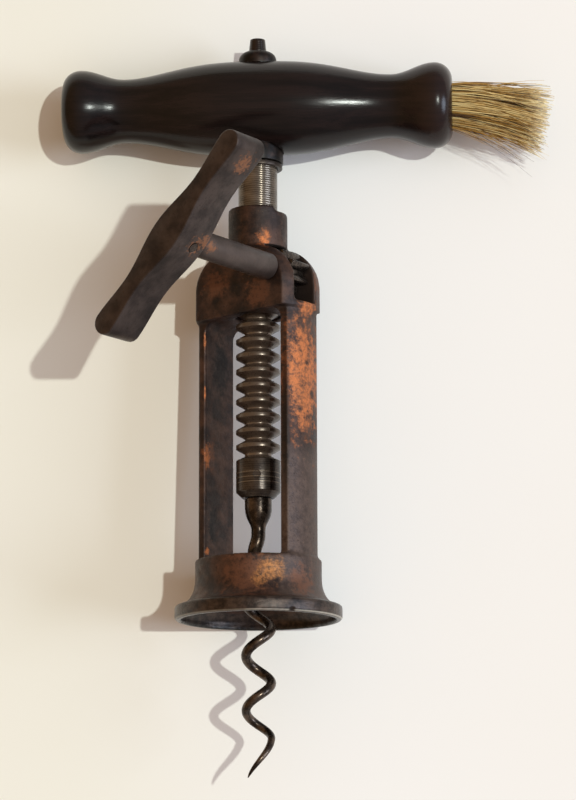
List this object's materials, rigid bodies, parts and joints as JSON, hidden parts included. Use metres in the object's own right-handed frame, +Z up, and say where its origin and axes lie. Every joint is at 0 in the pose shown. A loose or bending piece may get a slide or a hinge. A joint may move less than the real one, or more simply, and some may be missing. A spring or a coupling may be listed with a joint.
{
  "type": "rack corkscrew",
  "caption": "Rack corkscrew: bell frame on two pillars, ring rack driven by a side crank and pinion, right-hand worm, and a turned wooden T-handle with a dusting brush.",
  "frame": {"origin": "centre of the bell's mouth, on the tool's axis", "axes": "+Y up the tool's axis to the handle, +X along the handle to the brush, +Z up as the tool lies, to the crank"},
  "size_m": [0.1304, 0.1965, 0.0838],
  "materials": {
    "bronzed_casting": "bronzed, with a dark patina worn to copper on the raised places",
    "spindle_steel": "turned, with dark grooves and bright ring edges",
    "worm_steel": "dark, lightly worn",
    "pin_steel": "dull",
    "dark_steel": "darkened",
    "handle_wood": "dark polished hardwood",
    "bristle": "straw-coloured natural bristle",
    "twine": "wound thread",
    "pitch": "set pitch",
    "crank_steel": "browned, with coppery wear on the upper arm and the hub",
    "pinion_steel": "dark, with bright tooth tips"
  },
  "bodies": {
    "frame": {"frame": "bronzed_casting"},
    "lift": {"thrust_washer": "dark_steel"},
    "screw": {"rack_spindle": "spindle_steel", "worm": "worm_steel", "worm_pin": "pin_steel", "ferrule": "dark_steel", "handle": "handle_wood", "top_washer": "dark_steel", "bristle_tuft": "bristle", "tuft_binding": "twine", "pitch_plug": "pitch"},
    "crank": {"crank_arbor": "crank_steel", "pinion": "pinion_steel", "pinion_pin": "pin_steel", "crank_lever": "crank_steel", "crank_pin": "pin_steel"}
  },
  "joints": [
    {"name": "rack_slide", "type": "slide", "parent": "frame", "child": "lift", "axis": [0, 1, 0], "range_m": [-0.011, 0.04]},
    {"name": "handle_spin", "type": "hinge", "parent": "lift", "child": "screw", "pos_m": [0, 0.1365, 0], "axis": [0, 1, 0], "continuous": true},
    {"name": "crank_turn", "type": "hinge", "parent": "frame", "child": "crank", "pos_m": [0.00802, 0.0908, 0.00482], "axis": [-0.515, 0, 0.8572], "range_deg": [-515, 142]}
  ],
  "couplings": [
    {"joint": "crank_turn", "follows": "rack_slide", "rad_per_m": -224.4}
  ]
}
